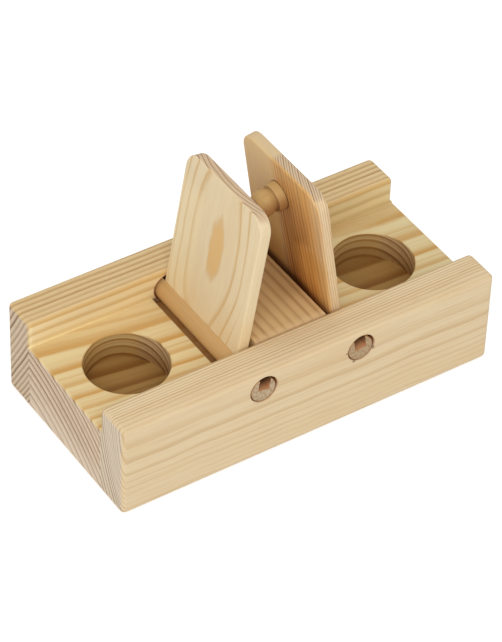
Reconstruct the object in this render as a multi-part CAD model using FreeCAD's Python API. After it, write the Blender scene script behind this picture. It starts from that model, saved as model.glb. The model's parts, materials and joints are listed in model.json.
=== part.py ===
import FreeCAD, Part
import os
from math import asin, atan2, degrees, hypot, sqrt

# Bird foraging toy: a glued pine tray with two bored food wells, and a pair of
# hinged lids that the bird lifts by a turned knob. Each lid is glued into a slotted
# dowel, and the dowel turns in round holes through the two side rails.
# Units are millimetres. X runs along the tray, Y from front to rear, Z up.
# The origin is the middle of the underside. The lids stand open, as the toy is shown.

V = FreeCAD.Vector
X_AXIS = V(1, 0, 0)
Y_AXIS = V(0, 1, 0)
Z_AXIS = V(0, 0, 1)
ORIGIN = V(0, 0, 0)

# Tray
tray_length = 200.0
tray_depth = 100.0
rail_height = 51.0
rail_thickness = 19.0
sanded_edge = 2.5
floor_end_edge = 1.2

# Food wells
well_diameter = 40.0
well_depth = 15.0
well_from_tray_end = 32.8
well_rim_ease = 0.4

# Hinges: each dowel lies low in holes that are wider than it is
hinge_spacing = 52.5
dowel_diameter = 12.7
hinge_clearance = 0.85
gap_under_dowel = 0.2
wood_over_hole = 3.0
dowel_inset = 0.6
dowel_end_ease = 0.3
hole_mouth_ease = 0.3

# Bridge between the dowels, and the shallow trough that clears them
bridge_to_dowel = 0.9
bridge_edge_ease = 0.8
trough_beside_dowel = 1.9
trough_under_dowel = 1.0
trough_edge_ease = 0.4

# Lids
lid_thickness = 6.0
lid_past_tray_end = 5.8
lid_side_clearance = 0.6
lid_over_floor = 0.3
lid_corner_radius = 9.0
lid_edge_ease = 0.6
lid_seat_below_axis = 0.2

# Knobs
knob_from_lid_end = 19.5
knob_behind_middle = 2.2
collar_diameter = 13.8
collar_thickness = 4.3
collar_edge_ease = 0.4
neck_diameter = 10.8
head_diameter = 12.8
head_centre_height = 8.6
head_end_height = 13.3
tenon_diameter = 6.0
wood_under_tenon = 2.0
knob_meeting_gap = 0.4

# Heights, measured down from the rails' tops
hole_diameter = dowel_diameter + 2 * hinge_clearance
hole_height = rail_height - wood_over_hole - hole_diameter / 2
hinge_height = hole_height - hinge_clearance + gap_under_dowel
lid_half = lid_thickness / 2
floor_height = hinge_height - lid_half - lid_over_floor
trough_floor = hinge_height - dowel_diameter / 2 - trough_under_dowel
well_floor = floor_height - well_depth

# Places and widths
hinge_x = hinge_spacing / 2
well_x = tray_length / 2 - well_from_tray_end
channel_width = tray_depth - 2 * rail_thickness
bridge_half = hinge_x - dowel_diameter / 2 - bridge_to_dowel
trough_half = hinge_x + dowel_diameter / 2 + trough_beside_dowel
dowel_length = tray_depth - 2 * dowel_inset
lid_width = channel_width - 2 * lid_side_clearance
lid_reach = tray_length / 2 + lid_past_tray_end - hinge_x
knob_reach = lid_reach - knob_from_lid_end
tenon_length = lid_thickness - wood_under_tenon
head_end_radius = sqrt((head_diameter / 2) ** 2 - (head_end_height - head_centre_height) ** 2)


def lean_where_knobs_meet():
    """Angle past upright at which the two knob heads come together over the bridge."""
    along = knob_reach + head_end_radius
    across = lid_half + head_end_height
    room = hinge_x - knob_meeting_gap / 2
    return degrees(asin(room / hypot(along, across)) - atan2(across, along))


def lean_where_lid_meets_bridge():
    """Angle past upright at which a lid's face comes down on the bridge's top corner."""
    aside = hinge_x - bridge_half
    above = rail_height - hinge_height
    return degrees(atan2(aside, above) - asin(lid_half / hypot(aside, above)))


lid_lean = min(lean_where_knobs_meet(), lean_where_lid_meets_bridge())


def box(x0, x1, y0, y1, z0, z1):
    """Block between two opposite corners."""
    return Part.makeBox(x1 - x0, y1 - y0, z1 - z0, V(x0, y0, z0))


def rod(radius, length, start, direction):
    """Round bar from a start point along a direction."""
    return Part.makeCylinder(radius, length, start, direction)


def edges_where(shape, test):
    """Edges whose both ends and middle pass the test."""
    picked = []
    for edge in shape.Edges:
        middle = edge.valueAt((edge.FirstParameter + edge.LastParameter) / 2)
        points = [vertex.Point for vertex in edge.Vertexes] + [middle]
        if all(test(point) for point in points):
            picked.append(edge)
    return picked


def near(a, b):
    return abs(a - b) < 1e-4


# Tray: the section is glued up and sanded as one, then parted at its glue lines

def glued_tray():
    """Channel section of the whole tray with its outer edges sanded round."""
    half_depth = tray_depth / 2
    half_channel = channel_width / 2
    section = [
        (-half_depth, 0), (half_depth, 0),
        (half_depth, rail_height), (half_channel, rail_height),
        (half_channel, floor_height), (-half_channel, floor_height),
        (-half_channel, rail_height), (-half_depth, rail_height),
    ]
    points = [V(-tray_length / 2, y, z) for y, z in section]
    face = Part.Face(Part.makePolygon(points + points[:1]))
    blank = face.extrude(V(tray_length, 0, 0))

    at_floor = edges_where(blank, lambda p: near(p.z, floor_height))
    outer = [edge for edge in blank.Edges if not any(edge.isSame(other) for other in at_floor)]
    return blank.makeFillet(sanded_edge, outer)


def tray_board(y0, y1):
    """Board of the glued tray that lies between two glue lines."""
    half = tray_length / 2
    return glued_tray().common(box(-half, half, y0, y1, 0, rail_height))


def side_rail(outer_y, inner_y):
    """Side rail with the two hinge holes bored through it and eased at their mouths."""
    rail = tray_board(min(outer_y, inner_y), max(outer_y, inner_y))
    for x in (-hinge_x, hinge_x):
        start = V(x, -tray_depth / 2 - 1, hole_height)
        rail = rail.cut(rod(hole_diameter / 2, tray_depth + 2, start, Y_AXIS))
    mouths = edges_where(rail, lambda p: near(p.y, outer_y)
                         and hypot(abs(p.x) - hinge_x, p.z - hole_height) < hole_diameter)
    return rail.makeChamfer(hole_mouth_ease, mouths)


def floor_block():
    """Middle board with the bridge's trough and the two food wells."""
    half_channel = channel_width / 2
    block = tray_board(-half_channel, half_channel)
    ends = edges_where(block, lambda p: near(abs(p.x), tray_length / 2)
                       and near(p.z, floor_height))
    block = block.makeFillet(floor_end_edge, ends)
    block = block.cut(box(-trough_half, trough_half, -half_channel, half_channel,
                          trough_floor, floor_height + 1))
    for x in (-well_x, well_x):
        block = block.cut(rod(well_diameter / 2, well_depth + 1, V(x, 0, well_floor), Z_AXIS))
    rims = edges_where(block, lambda p: near(p.z, floor_height)
                       and near(hypot(abs(p.x) - well_x, p.y), well_diameter / 2))
    block = block.makeChamfer(well_rim_ease, rims)
    lips = edges_where(block, lambda p: near(p.z, floor_height)
                       and near(abs(p.x), trough_half))
    return block.makeFillet(trough_edge_ease, lips)


def centre_bridge():
    """Cross-grain batten between the two dowels, flush with the rails' tops."""
    half_channel = channel_width / 2
    batten = box(-bridge_half, bridge_half, -half_channel, half_channel, trough_floor, rail_height)
    long_top_edges = edges_where(batten, lambda p: near(abs(p.x), bridge_half)
                                 and near(p.z, rail_height))
    return batten.makeFillet(bridge_edge_ease, long_top_edges)


# Lid, dowel and knob: drawn shut, with the hinge axis on Y and the lid along +X

def lid_panel():
    """Flat lid with rounded free corners and eased edges, bored for the knob's tenon."""
    half_width = lid_width / 2
    panel = box(-lid_seat_below_axis, lid_reach, -half_width, half_width, -lid_half, lid_half)
    corners = edges_where(panel, lambda p: near(p.x, lid_reach) and near(abs(p.y), half_width))
    panel = panel.makeFillet(lid_corner_radius, corners)
    rims = edges_where(panel, lambda p: near(abs(p.z), lid_half))
    seat = edges_where(panel, lambda p: near(p.x, -lid_seat_below_axis))
    eased = [edge for edge in rims if not any(edge.isSame(other) for other in seat)]
    panel = panel.makeChamfer(lid_edge_ease, eased)
    start = V(knob_reach, knob_behind_middle, lid_half - tenon_length)
    return panel.cut(rod(tenon_diameter / 2, tenon_length + 1, start, Z_AXIS))


def slotted_dowel():
    """Hinge dowel, slotted from end to end so that the lid can be slid in and glued."""
    radius = dowel_diameter / 2
    dowel = rod(radius, dowel_length, V(0, -dowel_length / 2, 0), Y_AXIS)
    rims = edges_where(dowel, lambda p: near(abs(p.y), dowel_length / 2))
    dowel = dowel.makeChamfer(dowel_end_ease, rims)
    slot = box(-lid_seat_below_axis, radius + 1, -dowel_length, dowel_length, -lid_half, lid_half)
    return dowel.cut(slot)


def turned_knob():
    """Knob turned in one piece: tenon, eased collar, neck and a ball head with a flat end."""
    tenon = tenon_diameter / 2
    collar = collar_diameter / 2
    neck = neck_diameter / 2
    head = head_diameter / 2
    head_foot = head_centre_height - sqrt(head ** 2 - neck ** 2)
    outline = [
        V(0, 0, -tenon_length), V(tenon, 0, -tenon_length), V(tenon, 0, 0), V(collar, 0, 0),
        V(collar, 0, collar_thickness - collar_edge_ease),
        V(collar - collar_edge_ease, 0, collar_thickness),
        V(neck, 0, collar_thickness), V(neck, 0, head_foot),
    ]
    widest = V(head, 0, head_centre_height)
    rim = V(head_end_radius, 0, head_end_height)
    ball = Part.Arc(outline[-1], widest, rim).toShape()
    end = Part.makePolygon([rim, V(0, 0, head_end_height), outline[0]])
    wire = Part.Wire(Part.makePolygon(outline).Edges + [ball] + end.Edges)
    knob = Part.Face(wire).revolve(ORIGIN, Z_AXIS, 360)
    return knob.translated(V(knob_reach, knob_behind_middle, lid_half))


def opened(shape):
    """Swings a part that was drawn shut up to its rest, and sets it at the right hinge."""
    turned = shape.rotated(ORIGIN, Y_AXIS, -(90 + lid_lean))
    return turned.translated(V(hinge_x, 0, hinge_height))


nodes = {
    "floor_block": floor_block(),
    "front_rail": side_rail(-tray_depth / 2, -channel_width / 2),
    "rear_rail": side_rail(tray_depth / 2, channel_width / 2),
    "centre_bridge": centre_bridge(),
}
flap_parts = {"lid": lid_panel(), "hinge_dowel": slotted_dowel(), "knob": turned_knob()}
for name, shape in flap_parts.items():
    right = opened(shape)
    nodes["right_" + name] = right
    nodes["left_" + name] = right.mirror(ORIGIN, X_AXIS)

os.makedirs("parts", exist_ok=True)
for name, shape in nodes.items():
    if not shape.isValid() or len(shape.Solids) != 1:
        raise ValueError(name + " is not one sound solid")
    shape.exportStep("parts/" + name + ".step")
print("lid lean %.3f degrees past upright" % lid_lean)
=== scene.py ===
import json
from math import cos, radians, sin, sqrt

import bmesh
import bpy
from mathutils import Matrix, Vector


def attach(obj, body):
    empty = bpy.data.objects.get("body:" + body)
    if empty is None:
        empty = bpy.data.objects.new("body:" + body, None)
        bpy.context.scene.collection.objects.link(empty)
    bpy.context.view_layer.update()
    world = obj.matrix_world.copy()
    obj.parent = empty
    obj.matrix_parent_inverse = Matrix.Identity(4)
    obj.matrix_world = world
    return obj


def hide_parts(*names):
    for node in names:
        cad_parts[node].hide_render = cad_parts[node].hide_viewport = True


# Bird foraging toy: a glued pine tray with two food wells, and two lids that hinge on
# slotted dowels. The frame is the model's own: X along the tray, Y from front to rear, Z up,
# with the origin in the middle of the underside. Pieces are drawn in metres, and mm is one
# millimetre. The finishes count in plain millimetres.

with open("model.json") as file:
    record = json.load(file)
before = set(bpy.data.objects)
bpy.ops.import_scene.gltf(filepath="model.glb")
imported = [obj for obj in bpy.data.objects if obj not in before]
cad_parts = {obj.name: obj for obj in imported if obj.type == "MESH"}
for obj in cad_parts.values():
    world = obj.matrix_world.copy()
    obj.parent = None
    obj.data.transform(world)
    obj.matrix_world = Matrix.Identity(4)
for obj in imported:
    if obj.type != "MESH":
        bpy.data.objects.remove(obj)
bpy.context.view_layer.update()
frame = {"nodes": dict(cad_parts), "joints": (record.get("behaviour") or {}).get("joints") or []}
mm = 0.001

SIDES = {"left": -1, "right": 1}
hinges = {joint["name"].split("_")[0]: Vector(joint["pos_m"]) for joint in frame["joints"]}

# Sizes of the pieces that are drawn here, as the model has them
lid_lean = radians(8.885)
lid_thickness = 6.0 * mm
lid_width = 60.8 * mm
lid_reach = 79.55 * mm
lid_seat = 0.2 * mm
lid_corner_radius = 9.0 * mm
dowel_radius = 6.35 * mm
dowel_length = 98.8 * mm
knob_reach = 60.05 * mm
knob_behind_middle = 2.2 * mm
collar_radius = 6.9 * mm
collar_thickness = 4.3 * mm
neck_radius = 5.4 * mm
head_radius = 6.4 * mm
head_centre = 8.6 * mm
head_end = 13.3 * mm

# Softly rounded edges, where the model has plain chamfers and sharp rims
lid_edge_round = 0.9 * mm
dowel_end_round = 0.35 * mm
knob_edge_round = 0.5 * mm
head_end_round = 1.0 * mm

# Steps of the round forms, and the angle from which an edge is shown sharp
lid_corner_steps = 14
lid_edge_steps = 4
dowel_steps = 96
dowel_edge_steps = 3
knob_steps = 72
knob_edge_steps = 4
head_steps = 18
sharp_angle = radians(50)

# Places that the finishes mark, in plain millimetres
rail_top = 51.0
rail_face = 50.0
tray_end = 100.0
channel_half = 31.0
floor_top = 36.85
trough_end = 34.5
trough_floor = 32.8
well_x = 67.2
well_radius = 20.0
well_floor = 21.85
hole_x = hinges["right"].x / mm
hole_height = 40.8
hole_radius = 7.2
lid_face = lid_thickness / 2 / mm
lid_side = lid_width / 2 / mm
slot_floor = -lid_seat / mm
slot_mouth = dowel_radius / mm
dowel_end = dowel_length / 2 / mm
knob_along = knob_reach / mm
knob_behind = knob_behind_middle / mm
collar_side = collar_radius / mm
collar_top = collar_thickness / mm


# Shader arithmetic

class Number:
    """A number that varies over a surface. Sums and products on it add Math nodes."""

    def __init__(self, finish, socket):
        self.finish = finish
        self.socket = socket

    def __add__(self, other):
        return self.finish.math("ADD", self, other)

    def __sub__(self, other):
        return self.finish.math("SUBTRACT", self, other)

    def __rsub__(self, other):
        return self.finish.math("SUBTRACT", other, self)

    def __mul__(self, other):
        return self.finish.math("MULTIPLY", self, other)

    def __truediv__(self, other):
        return self.finish.math("DIVIDE", self, other)

    def __abs__(self):
        return self.finish.math("ABSOLUTE", self)

    __radd__ = __add__
    __rmul__ = __mul__


def linear(colour):
    """Linear light from a colour in the picture's own 0 to 255 steps."""
    steps = [value / 255 for value in colour]
    return [s / 12.92 if s < 0.04045 else ((s + 0.055) / 1.055) ** 2.4 for s in steps] + [1.0]


class Finish:
    """One procedural material, built up node by node."""

    def __init__(self, name):
        self.material = bpy.data.materials.new(name)
        self.material.use_nodes = True
        self.tree = self.material.node_tree
        self.tree.nodes.clear()
        self.place = self.node("ShaderNodeTexCoord")

    def node(self, kind, settings=None, sockets=None):
        """Adds a node: its settings first, then the values or links of its sockets."""
        made = self.tree.nodes.new(kind)
        for name, value in (settings or {}).items():
            setattr(made, name, value)
        for key, value in (sockets or {}).items():
            if isinstance(value, Number):
                value = value.socket
            if isinstance(value, bpy.types.NodeSocket):
                self.tree.links.new(value, made.inputs[key])
            else:
                made.inputs[key].default_value = value
        return made

    def math(self, operation, *values):
        made = self.node("ShaderNodeMath", {"operation": operation}, dict(enumerate(values)))
        return Number(self, made.outputs[0])

    def ramp(self, value, low, high, at_low=0.0, at_high=1.0):
        """Smooth step from one value to another as a number goes from low to high."""
        made = self.node("ShaderNodeMapRange", {"interpolation_type": "SMOOTHSTEP"}, {
            "Value": value, "From Min": low, "From Max": high, "To Min": at_low, "To Max": at_high})
        return Number(self, made.outputs["Result"])

    def fade(self, value, low, high, share=1.0):
        """Smooth step from a share down to nothing as a number goes from low to high."""
        return self.ramp(value, low, high, share, 0.0)

    def point(self, x, y, z):
        return self.node("ShaderNodeCombineXYZ", None, {0: x, 1: y, 2: z}).outputs[0]

    def noise(self, point, detail=2.0, roughness=0.5):
        """Smooth noise about zero, mostly within half a unit either way."""
        made = self.node("ShaderNodeTexNoise", None, {
            "Vector": point, "Scale": 1.0, "Detail": detail, "Roughness": roughness})
        return Number(self, made.outputs[0]) - 0.5

    def random(self, number):
        """A fixed random value from 0 to 1 for each whole number."""
        made = self.node("ShaderNodeTexWhiteNoise", {"noise_dimensions": "1D"}, {"W": number})
        return Number(self, made.outputs[0])

    def mix(self, factor, first, second, blend="MIX"):
        made = self.node("ShaderNodeMix", {"data_type": "RGBA", "blend_type": blend}, {
            "Factor": factor, 6: first, 7: second})
        return made.outputs[2]

    def facing(self, direction):
        """How squarely the surface faces along a direction, either way, from 0 to 1."""
        made = self.node("ShaderNodeVectorMath", {"operation": "DOT_PRODUCT"}, {
            0: self.place.outputs["Normal"], 1: direction})
        return abs(Number(self, made.outputs["Value"]))

    def coordinates(self, origin=(0, 0, 0), turn=0):
        """Coordinates in millimetres from an origin, in axes turned about Y."""
        made = self.node("ShaderNodeMapping", {"vector_type": "TEXTURE"}, {
            "Vector": self.place.outputs["Object"], "Location": origin,
            "Rotation": (0, turn, 0), "Scale": (mm, mm, mm)})
        apart = self.node("ShaderNodeSeparateXYZ", None, {0: made.outputs[0]})
        return [Number(self, socket) for socket in apart.outputs]

    def distance(self, a, b):
        """How far a point lies from an axis, from its two offsets."""
        return self.math("SQRT", a * a + b * b)

    def tint(self, colour, share, shade):
        """Lays a colour over another by a share."""
        return self.mix(share, colour, linear(shade))

    def shade(self, colour, share, shade):
        """Darkens a colour by a share of a multiplying shade, which keeps the lines in it."""
        return self.mix(share, colour, linear(shade), "MULTIPLY")

    def close(self, colour, roughness, height, relief):
        """Ends in a plain sanded surface with a little relief."""
        bump = self.node("ShaderNodeBump", None, {
            "Height": height, "Strength": 1.0, "Distance": relief})
        surface = self.node("ShaderNodeBsdfPrincipled", None, {
            "Base Color": colour, "Roughness": roughness, "Normal": bump.outputs[0],
            "Specular IOR Level": 0.2})
        self.node("ShaderNodeOutputMaterial", None, {"Surface": surface.outputs[0]})
        return self.material


# Timber: each board is cut from a log of its own, whose rings run through it in depth, so
# that the lines on its faces and on its ends agree

class Timber:
    """Rings, fibres and tone of one board. Lengths in here are millimetres."""

    def __init__(self, finish, along, across, depth, pith, seed):
        self.finish = finish
        self.along = along
        self.seed = seed
        self.across = across - pith[0]
        self.depth = depth - pith[1]
        self.radius = finish.distance(self.across, self.depth)

    def stretched(self, length, width, offset=0.0):
        """A point for noise whose grains are long along the board and narrow across it."""
        return self.finish.point(
            self.along / length + (self.seed + offset), self.across / width, self.depth / width)

    def years(self, width, at_radius, tightening=0.0, wander=0.6, swell=None):
        """Count of rings outwards, fractions included, from a radius where one ends."""
        finish = self.finish
        slow_waves = finish.noise(self.stretched(46, 17)) * (2 * wander)
        quick_waves = finish.noise(self.stretched(9, 2.2, offset=5.0)) * 0.25
        wavy = self.radius + slow_waves + quick_waves
        out = wavy - at_radius
        count = (out + out * out * tightening) / width
        if swell is not None:
            amount, pace, fastest = swell
            count = count + finish.math("SINE", (wavy - fastest) * pace) * amount
        return count

    def rings(self, years, late_from=0.55, peak=0.86, ends_from=0.92, least=0.45, false_ring=0.0,
              gradual=0.0):
        """Latewood share: it builds up through each ring and ends sharply at its outside."""
        finish = self.finish
        season = finish.math("FRACT", years)
        number = finish.math("FLOOR", years)
        strength = finish.random(number + self.seed) * (1 - least) + least
        late = finish.ramp(season, late_from, peak) * (1 - gradual)
        if gradual:
            late = late + finish.ramp(season, 0.05, peak) * gradual
        late = late * finish.fade(season, ends_from, 1.0)
        if false_ring:
            early = finish.ramp(season, 0.2, 0.34) * finish.fade(season, 0.34, 0.42)
            late = late + early * finish.random(number + (self.seed + 0.5)) * false_ring
        return late * strength

    def fibres(self):
        """Short fine fibres, a third of a millimetre apart."""
        return self.finish.noise(self.stretched(14, 0.35, offset=9.0), detail=3.0, roughness=0.6)

    def streaks(self):
        """Fine long streaks, a millimetre or so apart."""
        return self.finish.noise(self.stretched(48, 0.9, offset=13.0), detail=2.0, roughness=0.55)

    def clouds(self):
        """Broad soft changes of tone."""
        return self.finish.noise(self.stretched(70, 15, offset=3.0), detail=2.0)

    def rays(self):
        """Fine pale lines that cross the rings on the ends."""
        turn = self.finish.math("ARCTAN2", self.across, self.depth)
        return self.finish.noise(self.finish.point(
            turn * self.radius / 0.9, self.radius / 9, self.along / 4 + self.seed))

    def pores(self):
        """Fine dots on the ends."""
        return self.finish.noise(self.finish.point(
            self.along / 3, self.across / 0.3, self.depth / 0.3))


# Tones in every board, and how squarely a rail has to face along its grain to show end grain:
# where it starts, and where it is full
cloud_tone = (212, 170, 108)
streak_tone = (182, 140, 88)
fibre_tone = (172, 128, 76)
ray_tone = (168, 140, 108)
pore_tone = (150, 120, 88)
rail_end_facing = (0.82, 0.97)
wood_relief = 0.05 * mm


def pine(timber, rings, grain, early, late, end_early, end_late, marks, streaky=0.2,
         end_facing=(0.62, 0.86)):
    """Sanded pine: pale earlywood, tan latewood, and greyer, stronger lines on the ends."""
    finish = timber.finish
    end = finish.ramp(finish.facing(grain), *end_facing)
    fibres = timber.fibres()
    pores = timber.pores()

    face = finish.mix(rings, linear(early), linear(late))
    face = finish.tint(face, finish.ramp(timber.clouds(), -0.25, 0.25) * 0.22, cloud_tone)
    face = finish.tint(face, finish.ramp(timber.streaks(), -0.02, 0.22, 0.0, streaky), streak_tone)
    face = finish.tint(face, finish.ramp(fibres, -0.25, 0.35, 0.0, 0.12), fibre_tone)

    end_face = finish.mix(rings, linear(end_early), linear(end_late))
    end_face = finish.tint(end_face, finish.ramp(timber.rays(), -0.1, 0.3, 0.0, 0.38), ray_tone)
    end_face = finish.tint(end_face, finish.ramp(pores, -0.1, 0.4, 0.0, 0.22), pore_tone)

    colour = marks(finish.mix(end, face, end_face))
    roughness = 0.56 + fibres * 0.14 + end * 0.12
    height = fibres * 0.7 + rings * 0.4 + pores * end
    return finish.close(colour, roughness, height, wood_relief)


def floor_finish():
    """Floor block: wide rings, their lines drifting forward towards the right."""
    finish = Finish("pine_floor")
    x, y, z = finish.coordinates()
    from_end = x + (tray_end - 3)
    right_end = finish.ramp(from_end, 110, 185)
    drifting = y * finish.ramp(from_end, 0, 60, 1.0, 1.14)
    drifting = drifting + from_end * 0.1321 - from_end * from_end * 0.000173
    drifting = drifting + finish.ramp(y, 6, 21, 0.0, 7.0) * right_end
    raised = z + finish.ramp(z, 33.0, 36.8, 0.0, 1.3)
    timber = Timber(finish, x, drifting, raised, pith=(58.5, -93.5), seed=11.0)
    years = timber.years(5.75, at_radius=107.8, tightening=0.0070, wander=0.4)
    rings = timber.rings(years, late_from=0.42, peak=0.84, ends_from=0.88, least=0.65,
                         false_ring=0.5, gradual=0.3)
    faded = finish.ramp(y, 20, 25, 0.0, 0.6) * finish.ramp(z, 33.0, 36.4)
    rings = rings * (1 - faded * right_end)

    def marks(colour):
        """Painted shade: trough, cool right end, deepening down the wells; painted light at the
        left foot.
        """
        beside = abs(x)
        # Painted shade down in the trough under the dowels.
        trough = finish.fade(beside, trough_end - 0.3, trough_end + 0.2)
        trough = trough * finish.fade(z, floor_top - 1.85, floor_top - 0.05)
        trough = trough * finish.ramp(z, trough_floor - 1.3, trough_floor - 0.3)
        colour = finish.tint(colour, trough * 0.85, (176, 118, 60))
        # Painted shade, slightly cool, on the floor's top towards the right end.
        painted_right_shade = right_end * finish.ramp(z, floor_top - 0.85, floor_top - 0.25)
        colour = finish.shade(colour, painted_right_shade, (246, 250, 255))

        from_well = finish.distance(beside - well_x, y)
        inside = finish.fade(from_well, well_radius + 0.2, well_radius + 0.5)
        inside = inside * finish.ramp(z, well_floor - 1.35, well_floor - 0.35)
        # Painted shade that deepens down the wells' walls to their floors.
        deep = finish.ramp(z, well_floor + 0.15, floor_top - 0.35, 0.9, 0.2)
        deep = deep * finish.fade(z, floor_top - 0.45, floor_top - 0.25)
        colour = finish.tint(colour, inside * 0.5, (212, 176, 108))
        colour = finish.shade(colour, inside * rings * 0.5, (150, 112, 74))
        colour = finish.shade(colour, inside * deep, (184, 160, 124))

        # Painted light, paler low on the left end near the floor.
        painted_foot_light = finish.fade(x, 0.5 - tray_end, 1.5 - tray_end) * finish.fade(z, 3, 20, 0.35)
        return finish.tint(colour, painted_foot_light, (250, 234, 214))

    return pine(timber, rings, (1, 0, 0), (232, 212, 161), (203, 152, 76),
                (231, 208, 180), (140, 110, 82), marks)


def painted_bore_shade(finish, colour, x, y, z):
    """Painted shade on the walls of a rail's two hinge holes, more so further in, and at the
    trough's end.
    """
    # Painted shade, deeper inside the hinge holes.
    from_axis = finish.distance(abs(x) - hole_x, z - hole_height)
    wall = finish.fade(from_axis, hole_radius + 0.28, hole_radius + 0.55)
    further_in = finish.ramp(abs(y), rail_face - 1.4, rail_face - 0.4, 0.85, 0.1)
    colour = finish.tint(colour, wall * further_in, (176, 100, 48))

    # Painted shade on the rail's inner face at the trough's end.
    painted_trough_shade = finish.fade(z, floor_top - 0.45, floor_top + 0.55)
    painted_trough_shade = painted_trough_shade * finish.fade(abs(x), trough_end + 0.1, trough_end + 0.9)
    painted_trough_shade = painted_trough_shade * finish.fade(abs(y), channel_half, channel_half + 0.4)
    painted_trough_shade = painted_trough_shade * finish.ramp(z, trough_floor - 1.3, trough_floor - 0.3)
    return finish.tint(colour, painted_trough_shade * 0.8, (126, 84, 46))


# Splinters torn from the edge of the front rail's right hole: middle, width and height
splinters = ((18.5, 40.8, 1.0, 0.7), (22.6, 34.3, 1.2, 0.8), (32.9, 38.0, 0.7, 1.1))


def splintered(finish, colour, x, y, z):
    """Front rail's face where splinters came away: real tear-out, with painted shade in its
    notches.
    """
    ragged = finish.noise(finish.point(x / 0.7, y, z / 0.7)) * 0.9
    on_face = finish.fade(y, 0.5 - rail_face, 1.0 - rail_face)
    # Painted shade in the notches of the real tear-out.
    for middle_x, middle_z, width, height in splinters:
        spot = finish.distance((x - middle_x) / width, (z - middle_z) / height) + ragged
        colour = finish.tint(colour, finish.fade(spot, 0.55, 1.15, 0.6) * on_face, (112, 74, 42))
    return colour


def front_rail_finish():
    """Front rail: bold lines by the floor block that grow softer towards the front."""
    finish = Finish("pine_front_rail")
    x, y, z = finish.coordinates()
    waves = finish.noise(finish.point(x / 34, 6.0, 0.0), detail=1.0) * 3.0
    timber = Timber(finish, x, y, z + x * 0.018 + waves, pith=(-132.0, 55.0), seed=23.0)
    radius = timber.radius
    years = timber.years(2.0, at_radius=84.76, wander=0.28, swell=(0.7, 0.2417, 94.5))
    years = years + finish.ramp(radius, 86.0, 87.6, 0.0, -0.22)
    years = years + finish.ramp(radius, 83.4, 85.0, -0.22, 0.0)
    on_front = finish.fade(y, 0.1 - rail_face, 0.8 - rail_face)
    on_top = finish.ramp(z, rail_top - 1.0, rail_top - 0.2)
    bold = finish.ramp(radius, 88.6, 89.6, 1.0, 0.72) + finish.ramp(radius, 97, 100, 0.0, 0.4)
    bold = bold * (1 - on_front * finish.ramp(radius, 88.8, 90.5, 0.2, 0.58))
    bold = bold * (1 - on_front * finish.fade(radius, 84.0, 84.8, 0.4))
    bold = bold * (1 - on_top * finish.ramp(radius, 86.0, 90.0, 0.45, -0.7))
    rings = timber.rings(years, late_from=0.46, peak=0.86, ends_from=0.88, least=0.4) * bold

    def marks(colour):
        return splintered(finish, painted_bore_shade(finish, colour, x, y, z), x, y, z)

    return pine(timber, rings, (1, 0, 0), (228, 208, 171), (194, 157, 106),
                (229, 212, 187), (122, 98, 72), marks, end_facing=rail_end_facing)


def rear_rail_finish():
    """Rear rail: even, soft rings that lean across its end, golden on the inner face, partly
    painted light.
    """
    finish = Finish("pine_rear_rail")
    x, y, z = finish.coordinates()
    risen = z + x * 0.160 - finish.ramp(x, -50, 110, 0.0, 2.4)
    timber = Timber(finish, x, y - x * 0.069, risen, pith=(437.7, 242.5), seed=37.0)
    years = timber.years(2.8235, at_radius=440.7, tightening=0.00565, wander=0.4)
    rings = timber.rings(years, late_from=0.28, peak=0.76, ends_from=0.84)

    def marks(colour):
        """Golden inner face, partly painted light, with a dark line along its top and painted light
        at its left.
        """
        inner = finish.fade(y, channel_half + 0.9, channel_half + 1.6)
        inner = inner * finish.ramp(z, floor_top - 0.85, floor_top - 0.05)
        inner = inner * (1 - finish.ramp(finish.facing((1, 0, 0)), 0.5, 0.9))
        # Painted light: the inner face's golden colour grows paler towards the left.
        rightwards = finish.ramp(x, -50, 60)
        pale = finish.mix(rightwards, linear((245, 225, 178)), linear((231, 209, 157)))
        dark = finish.mix(rightwards, linear((216, 178, 110)), linear((200, 172, 112)))
        lines = rings * finish.ramp(z, 40.0, 41.5, 0.7, 1.2)
        colour = finish.mix(inner * 0.9, colour, finish.mix(lines, pale, dark))
        edge_line = finish.ramp(z, rail_top - 2.6, rail_top - 1.8)
        colour = finish.tint(colour, edge_line * inner * 0.6, (204, 158, 88))
        # Painted pool of light, low on the inner face's left part.
        lit = inner * finish.fade(z, 37.5, 40.5) * finish.fade(x, -72, -42)
        colour = finish.tint(colour, lit * 0.4, (255, 236, 176))
        return painted_bore_shade(finish, colour, x, y, z)

    return pine(timber, rings, (1, 0, 0), (224, 199, 152), (178, 140, 88),
                (221, 199, 170), (130, 100, 74), marks, end_facing=rail_end_facing)


def bridge_finish():
    """Bridge: warm brown, with broad soft lines across the tray."""
    finish = Finish("pine_bridge")
    x, y, z = finish.coordinates()
    timber = Timber(finish, y, x, z, pith=(-158.9, 20.0), seed=41.0)
    years = timber.years(4.65, at_radius=165.0, wander=0.35)
    rings = timber.rings(years, late_from=0.42, peak=0.8, ends_from=0.88, least=0.6) * 0.75

    def marks(colour):
        """Painted shade towards the rear and the right lid, and a painted light strip along the
        front rail.
        """
        # Painted shade from the lids, deeper towards the rear and the right lid.
        painted_shade_rearwards = finish.ramp(y, -26, -12, 0.0, 0.25)
        painted_shade_rightwards = finish.ramp(x, 3, 12, 0.0, 0.45) * finish.ramp(y, -19, -8)
        colour = finish.shade(colour, painted_shade_rearwards + painted_shade_rightwards, (206, 192, 176))
        # Painted light on a strip of the bridge along the front rail.
        painted_light_by_rail = finish.fade(y, 0.5 - channel_half, 4 - channel_half, 0.4)
        return finish.tint(colour, painted_light_by_rail, (232, 200, 150))

    return pine(timber, rings, (0, 1, 0), (219, 186, 134), (168, 124, 78),
                (226, 194, 150), (206, 172, 130), marks)


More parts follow.
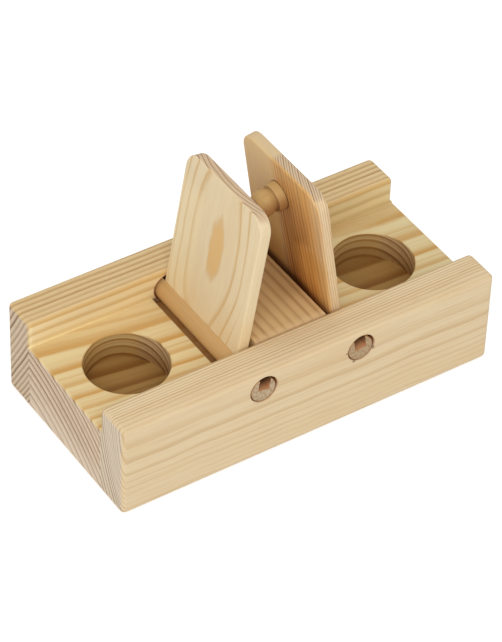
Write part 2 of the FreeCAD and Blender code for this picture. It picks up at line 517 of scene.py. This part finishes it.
def lid_axes(finish, side):
    """Coordinates of a lid: along it from the hinge, across it to the front, and through it."""
    x, y, z = finish.coordinates(hinges[side], -SIDES[side] * lid_lean)
    grain = (-SIDES[side] * sin(lid_lean), 0, cos(lid_lean))
    return z, y * -1.0, x, grain


def painted_slot_shade(finish, colour, along, across):
    """Painted shade on the part of a lid that lies far down in its dowel's slot, inside a rail's
    hole.
    """
    in_slot = finish.fade(along, slot_mouth - 0.75, slot_mouth + 0.05)
    in_slot = in_slot * finish.ramp(abs(across), lid_side - 0.4, lid_side - 0.1)
    return finish.tint(colour, in_slot, (110, 58, 32))


def left_lid_finish():
    """Left lid: a bowed board whose middle ring breaks the surface as a spindle."""
    finish = Finish("pine_left_lid")
    along, across, through, grain = lid_axes(finish, "left")
    from_middle = along - 46
    bowed = through - from_middle * from_middle * 0.0009
    uneven = across + finish.fade(across, -18, -6, 3.0) + finish.fade(along, 4, 40, 3.2)
    timber = Timber(finish, along, uneven, bowed, pith=(1.4, 57.0), seed=53.0)
    years = timber.years(2.07, at_radius=60.37, tightening=0.02, wander=0.16)
    plain = finish.ramp(across, 21.5, 27, 1.0, 0.15)
    rings = timber.rings(years, late_from=0.62, peak=0.88, ends_from=0.9, least=0.7) * plain

    def marks(colour):
        """The spindle, warmer low down, and paler at the rear."""
        outer = finish.fade(through, 0.1 - lid_face, 0.6 - lid_face)
        spindle = finish.fade(years, -0.12, -0.03, 0.7) * outer
        colour = finish.tint(colour, spindle, (226, 184, 120))
        colour = finish.tint(colour, finish.fade(along, 5, 38, 0.25), (238, 198, 130))
        rear = finish.fade(across, -16, -8, 0.3) * finish.fade(along, 58, 72)
        colour = finish.tint(colour, rear, (248, 228, 182))
        return painted_slot_shade(finish, colour, along, across)

    return pine(timber, rings, grain, (233, 215, 178), (212, 177, 124),
                (219, 191, 155), (126, 94, 68), marks, streaky=0.08)


def right_lid_finish():
    """Right lid: fine-ringed warm heartwood to the front and a smooth paler third behind."""
    finish = Finish("pine_right_lid")
    along, across, through, grain = lid_axes(finish, "right")
    leaning = across + along * 0.1
    timber = Timber(finish, along, leaning, through, pith=(80.0, 136.0), seed=67.0)
    years = timber.years(1.1, at_radius=150.0, wander=0.15)
    heart = finish.ramp(across + along * 0.02, -5.5, -2.5)
    rings = timber.rings(years, late_from=0.3, peak=0.75, ends_from=0.8, least=0.5) * heart
    inner = finish.fade(through, 0.3 - lid_face, 1.8 - lid_face)

    def heartwood(colour):
        """Streaky orange brown on the inner face, partly painted bounce light, with painted light
        at its top and front.
        """
        streaks = finish.noise(finish.point(along / 60, leaning / 0.9, 3.0),
                               detail=3.0, roughness=0.65)
        broad = finish.noise(finish.point(along / 90, leaning / 6, 8.0), detail=1.0)
        darker = rings * 0.6 + finish.ramp(streaks + broad * 0.6, -0.15, 0.2, 0.0, 0.55)
        warm = finish.mix(darker, linear((226, 164, 90)), linear((142, 88, 44)))
        # Painted light: paler up the lid, above the left lid's shadow.
        warm = finish.tint(warm, finish.ramp(along, 52, 80, 0.0, 0.4), (240, 198, 124))
        # Painted light: warmer and lighter towards the front edge.
        warm = finish.tint(warm, finish.ramp(across, 12, 24, 0.0, 0.3), (250, 184, 92))
        warmth = finish.ramp(across + along * 0.05 + broad * 8, -7, 2) * inner
        warmth = warmth * finish.ramp(across, 19, 29, 1.0, 0.45)
        return finish.mix(warmth * 0.85, colour, warm)

    def plain_rear(colour):
        """Smooth and pale behind the heartwood, warmer low on the inner face."""
        low_tone = finish.mix(finish.ramp(along, 40, 62),
                              linear((240, 192, 116)), linear((226, 192, 130)))
        tone = finish.mix(inner, linear((218, 190, 142)), low_tone)
        return finish.mix(finish.fade(across, -8, -3, 0.6), colour, tone)

    def low_end(colour):
        """Soft, warm shade on the inner face that deepens towards the bridge."""
        aside = finish.fade(across + finish.fade(along, 34, 46, 12.0), 14, 24)
        colour = finish.shade(colour, finish.fade(along, 32, 80) * aside * inner, (222, 214, 202))
        warm_low = finish.fade(along, 34, 46) * finish.ramp(across, 2, 8)
        colour = finish.shade(colour, warm_low * inner, (251, 242, 216))
        low = along + across * 0.4
        colour = finish.shade(colour, finish.fade(low, 10, 34, 0.6) * inner, (196, 164, 118))
        lowest = along + finish.ramp(across, 6, 24, 0.0, 3.5)
        return finish.shade(colour, finish.fade(lowest, 7, 15, 0.8) * inner, (148, 100, 58))

    def marks(colour):
        """The three above, and a painted contact shadow round the knob's foot."""
        colour = low_end(plain_rear(heartwood(colour)))
        from_knob = finish.distance(along - knob_along, across + knob_behind)
        # Painted contact shadow on the lid round the knob's foot.
        painted_contact_shadow = finish.fade(from_knob, collar_side + 0.1, collar_side + 0.6) * inner
        colour = finish.tint(colour, painted_contact_shadow * 0.8, (92, 52, 24))
        return painted_slot_shade(finish, colour, along, across)

    return pine(timber, rings, grain, (231, 208, 171), (198, 156, 106),
                (218, 192, 158), (128, 94, 64), marks)


def dowel_finish(side, seed, end_tone):
    """Dowel: close, smooth tan wood with mottled grey ends, and painted shade down in the slot."""
    finish = Finish(side + "_dowel_wood")
    x, y, z = finish.coordinates(hinges[side], -SIDES[side] * lid_lean)
    timber = Timber(finish, y, x, z, pith=(-31.0, -22.0), seed=seed)
    rings = timber.rings(timber.years(1.6, at_radius=38.0, wander=0.3)) * 0.22

    def marks(colour):
        """Mottled ends, and painted shade on the slot walls, darker upwards."""
        mottle = finish.noise(finish.point(x / 1.3, y / 20, z / 1.3), detail=3.0, roughness=0.65)
        mottled = finish.ramp(abs(y), dowel_end - 0.4, dowel_end - 0.2)
        mottled = mottled * finish.ramp(mottle, -0.1, 0.15, 0.0, 0.55)
        colour = finish.tint(colour, mottled, (142, 112, 84))
        # Painted shade on the slot's walls, deeper in from the dowel's ends.
        in_slot = finish.fade(abs(x), lid_face - 0.02, lid_face + 0.06)
        in_slot = in_slot * finish.ramp(z, slot_floor - 0.1, slot_floor + 0.05)
        from_mouth = dowel_end - abs(y)
        darker = finish.ramp(z + from_mouth * 0.9, 0.5, 6.5)
        wall = finish.mix(darker, linear((216, 156, 112)), linear((70, 24, 6)))
        return finish.mix(in_slot, colour, wall)

    return pine(timber, rings, (0, 1, 0), (202, 161, 105), (176, 134, 82),
                end_tone, (146, 118, 90), marks)


def knob_finish(side):
    """Knob: close tan wood, with painted shade in the groove behind its head, round its foot and
    low down.
    """
    finish = Finish(side + "_knob_wood")
    along, across, through, _ = lid_axes(finish, side)
    out = through * (-SIDES[side]) - lid_face
    timber = Timber(finish, out, across, along, pith=(-31.0, 22.0), seed=91.0)
    rings = timber.rings(timber.years(1.6, at_radius=38.0, wander=0.3)) * 0.2
    grain = (cos(lid_lean), 0, SIDES[side] * sin(lid_lean))

    def marks(colour):
        """Painted shade in the groove and round the foot, and soft painted shade on the low side.
        """
        # Painted shade in the groove behind the head and at the foot against the lid.
        groove = finish.ramp(out, collar_top - 0.05, collar_top + 0.05)
        groove = groove * finish.fade(out, collar_top + 0.6, collar_top + 1.0)
        foot = finish.fade(out, 0.0, 0.6, 0.7)
        colour = finish.tint(colour, groove * 0.3 + foot, (104, 66, 34))
        # Painted shade on the knob's low side, away from the light.
        height = along - knob_along - (across + knob_behind) * 0.7
        return finish.shade(colour, finish.fade(height, -5.0, 3.5, 0.75), (186, 146, 116))

    return pine(timber, rings, grain, (204, 170, 112), (182, 138, 84),
                (204, 168, 118), (178, 138, 88), marks)


# Pieces, drawn shut with the hinge axis on Y and the lid along +X, as the real ones are cut

def shut_to_rest(side):
    """Matrix that swings a piece from shut at the origin to its open rest on its hinge."""
    lift = Matrix.Rotation(-(radians(90) + lid_lean), 4, "Y")
    flip = Matrix.Diagonal((SIDES[side], 1, 1, 1))
    return flip @ Matrix.Translation(hinges["right"]) @ lift


def finished(name, bm, side, finish, node):
    """Makes a drawn piece an object at its rest, in the place of its node."""
    bm.transform(shut_to_rest(side))
    bmesh.ops.remove_doubles(bm, verts=bm.verts, dist=0.001 * mm)
    bmesh.ops.recalc_face_normals(bm, faces=bm.faces)
    mesh = bpy.data.meshes.new(name)
    bm.to_mesh(mesh)
    bm.free()
    mesh.shade_smooth()
    piece = bpy.data.objects.new(name, mesh)
    bpy.context.scene.collection.objects.link(piece)
    mesh.materials.append(finish)
    mesh.set_sharp_from_angle(angle=sharp_angle)
    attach(piece, side + "_flap")
    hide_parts(node)


def bevel(bm, geometry, size, segments, affect="EDGES"):
    bmesh.ops.bevel(bm, geom=geometry, offset=size, offset_type="OFFSET", segments=segments,
                    profile=0.5, affect=affect, material=-1, clamp_overlap=False)


def near(a, b):
    return abs(a - b) < 0.01 * mm


def block(bm, low, high):
    """Adds a plain block between two corners."""
    low, high = Vector(low), Vector(high)
    place = Matrix.Translation((low + high) / 2) @ Matrix.Diagonal([*(high - low), 1])
    bmesh.ops.create_cube(bm, size=1, matrix=place)


def lid_panel(side, finish):
    """Flat lid with round free corners and softly sanded edges."""
    bm = bmesh.new()
    half, thick = lid_width / 2, lid_thickness / 2
    block(bm, (-lid_seat, -half, -thick), (lid_reach, half, thick))
    corners = [e for e in bm.edges if all(near(v.co.x, lid_reach) for v in e.verts)
               and near(e.verts[0].co.y, e.verts[1].co.y)]
    bevel(bm, corners, lid_corner_radius, lid_corner_steps)
    seat = [e for e in bm.edges if all(near(v.co.x, -lid_seat) for v in e.verts)]
    rims = [e for e in bm.edges if near(e.verts[0].co.z, e.verts[1].co.z) and e not in seat]
    bevel(bm, rims, lid_edge_round, lid_edge_steps)
    finished(side + "_lid_panel", bm, side, finish, side + "_lid")


def cut_away(bm, low, high):
    """Cuts a block out of a drawn piece, and gives back the piece that is left."""
    whole, cutter = bpy.data.meshes.new("whole"), bpy.data.meshes.new("cutter")
    bm.to_mesh(whole)
    bm.free()
    tool = bmesh.new()
    block(tool, low, high)
    tool.to_mesh(cutter)
    tool.free()
    blank = bpy.data.objects.new("blank", whole)
    blade = bpy.data.objects.new("blade", cutter)
    for made in (blank, blade):
        bpy.context.scene.collection.objects.link(made)
    cut = blank.modifiers.new("cut", "BOOLEAN")
    cut.operation = "DIFFERENCE"
    cut.solver = "EXACT"
    cut.object = blade
    bpy.context.view_layer.update()
    cut_blank = blank.evaluated_get(bpy.context.evaluated_depsgraph_get())
    shaped = bpy.data.meshes.new_from_object(cut_blank)
    for made in (blank, blade):
        bpy.data.objects.remove(made)
    left_over = bmesh.new()
    left_over.from_mesh(shaped)
    return left_over


def slotted_dowel(side, finish):
    """Hinge dowel with softened ends, sawn open from end to end for the lid's edge."""
    bm = bmesh.new()
    lie_along_y = Matrix.Rotation(radians(90), 4, "X")
    bmesh.ops.create_cone(bm, cap_ends=True, segments=dowel_steps, radius1=dowel_radius,
                          radius2=dowel_radius, depth=dowel_length, matrix=lie_along_y)
    rims = [e for e in bm.edges if near(e.verts[0].co.y, e.verts[1].co.y)]
    bevel(bm, rims, dowel_end_round, dowel_edge_steps)
    half = lid_thickness / 2
    bm = cut_away(bm, (-lid_seat, -dowel_length, -half), (2 * dowel_radius, dowel_length, half))
    finished(side + "_slotted_dowel", bm, side, finish, side + "_hinge_dowel")


def turned_profile(bm, points, round_points):
    """Chain of edges through points in the XZ plane, with some of its corners rounded."""
    verts = [bm.verts.new((radius, 0, height)) for radius, height in points]
    for first, second in zip(verts, verts[1:]):
        bm.edges.new((first, second))
    for index, size in round_points.items():
        bevel(bm, [verts[index]], size, knob_edge_steps, affect="VERTICES")


def knob(side, finish):
    """Turned knob: flat collar, narrow neck and a ball head with a flat, softened end."""
    bm = bmesh.new()
    foot = head_centre - sqrt(head_radius ** 2 - neck_radius ** 2)
    end_radius = sqrt(head_radius ** 2 - (head_end - head_centre) ** 2)
    points = [(0, 0), (collar_radius, 0), (collar_radius, collar_thickness),
              (neck_radius, collar_thickness), (neck_radius, foot)]
    start = Vector((neck_radius, foot - head_centre)).angle_signed(Vector((1, 0)))
    stop = Vector((end_radius, head_end - head_centre)).angle_signed(Vector((1, 0)))
    for step in range(1, head_steps + 1):
        angle = start + (stop - start) * step / head_steps
        points.append((head_radius * cos(angle), head_centre + head_radius * sin(angle)))
    points.append((0, head_end))
    turned_profile(bm, points, {2: knob_edge_round, len(points) - 2: head_end_round})
    bmesh.ops.spin(bm, geom=bm.verts[:] + bm.edges[:], cent=(0, 0, 0), axis=(0, 0, 1),
                   dvec=(0, 0, 0), angle=radians(360), steps=knob_steps, use_merge=True,
                   use_duplicate=False)
    bmesh.ops.translate(bm, verts=bm.verts,
                        vec=(knob_reach, knob_behind_middle, lid_thickness / 2))
    finished(side + "_turned_knob", bm, side, finish, side + "_knob")


# Finishes on the model's own boards, then the pieces of the two flaps

boards = {
    "floor_block": (floor_finish(), "pine_floor"),
    "front_rail": (front_rail_finish(), "pine_rail"),
    "rear_rail": (rear_rail_finish(), "pine_rail"),
    "centre_bridge": (bridge_finish(), "pine_bridge"),
}
for node, (finish, slot) in boards.items():
    board = frame["nodes"][node]
    board.data.materials.clear()
    board.data.materials.append(finish)

lid_finishes = {"left": left_lid_finish(), "right": right_lid_finish()}
dowel_finishes = {
    "left": dowel_finish("left", seed=71.0, end_tone=(200, 178, 145)),
    "right": dowel_finish("right", seed=83.0, end_tone=(190, 163, 127)),
}
for side in SIDES:
    lid_panel(side, lid_finishes[side])
    slotted_dowel(side, dowel_finishes[side])
    knob(side, knob_finish(side))


# Stage: a pale floor that runs out to white, soft light, and the photograph's view

def floor():
    """Wide pale floor, which the camera and gloss see a little brighter."""
    half_size = 6
    pale = (0.80, 0.80, 0.80, 1)
    glow_strength = 0.45
    bm = bmesh.new()
    bmesh.ops.create_grid(bm, x_segments=2, y_segments=2, size=half_size)
    mesh = bpy.data.meshes.new("studio_floor")
    bm.to_mesh(mesh)
    bm.free()
    sheet = bpy.data.objects.new("studio_floor", mesh)
    bpy.context.scene.collection.objects.link(sheet)
    finish = Finish("studio_floor")
    rays = finish.node("ShaderNodeLightPath")
    seen = finish.math("MAXIMUM", Number(finish, rays.outputs["Is Camera Ray"]),
                       Number(finish, rays.outputs["Is Glossy Ray"]))
    paint = finish.node("ShaderNodeBsdfDiffuse", None, {"Color": pale})
    glow = finish.node("ShaderNodeEmission", None, {
        "Color": (1, 1, 1, 1), "Strength": seen * glow_strength})
    both = finish.node("ShaderNodeAddShader", None, {0: paint.outputs[0], 1: glow.outputs[0]})
    finish.node("ShaderNodeOutputMaterial", None, {"Surface": both.outputs[0]})
    mesh.materials.append(finish.material)


def sky():
    """White all round: full white to the camera, a little less as light."""
    light_strength, seen_strength = 0.75, 1.0
    world = bpy.data.worlds.new("studio_sky")
    world.use_nodes = True
    bpy.context.scene.world = world
    tree = world.node_tree
    tree.nodes.clear()
    rays = tree.nodes.new("ShaderNodeLightPath")
    choose = tree.nodes.new("ShaderNodeMixShader")
    tree.links.new(rays.outputs["Is Camera Ray"], choose.inputs[0])
    for socket, strength in ((1, light_strength), (2, seen_strength)):
        background = tree.nodes.new("ShaderNodeBackground")
        background.inputs["Color"].default_value = (1, 1, 1, 1)
        background.inputs["Strength"].default_value = strength
        tree.links.new(background.outputs[0], choose.inputs[socket])
    out = tree.nodes.new("ShaderNodeOutputWorld")
    tree.links.new(choose.outputs[0], out.inputs[0])


def key_lamp():
    """Wide soft lamp, in front to the left and above."""
    place, aim = Vector((-0.9, -1.3, 1.5)), Vector((0, 0, 0.04))
    lamp = bpy.data.lights.new("key", "AREA")
    lamp.size = 1.2
    lamp.energy = 17
    holder = bpy.data.objects.new("key", lamp)
    holder.location = place
    holder.rotation_mode = "QUATERNION"
    holder.rotation_quaternion = (aim - place).to_track_quat("-Z", "Y")
    bpy.context.scene.collection.objects.link(holder)


def camera():
    """The photograph's view: from the front left, 42 degrees up, with a slight roll."""
    azimuth, elevation, roll = radians(-34.67), radians(42.14), radians(2.27)
    distance = 1480.86 * mm
    aim_rightwards, aim_upwards = 0.61 * mm, 22.84 * mm
    back = Vector((sin(azimuth) * cos(elevation), -cos(azimuth) * cos(elevation), sin(elevation)))
    level = Vector((cos(azimuth), sin(azimuth), 0))
    rise = back.cross(level)
    right = level * cos(roll) + rise * sin(roll)
    up = rise * cos(roll) - level * sin(roll)
    lens = bpy.data.cameras.new("view")
    lens.lens = 178.23
    lens.sensor_width = 36
    lens.clip_start, lens.clip_end = 0.05, 50
    viewer = bpy.data.objects.new("view", lens)
    aim = right * aim_rightwards + up * aim_upwards
    axes = Matrix((right, up, back)).transposed().to_4x4()
    viewer.matrix_world = Matrix.Translation(aim + back * distance) @ axes
    bpy.context.scene.collection.objects.link(viewer)
    bpy.context.scene.camera = viewer


floor()
sky()
key_lamp()
camera()
bpy.context.scene.view_settings.view_transform = "Standard"
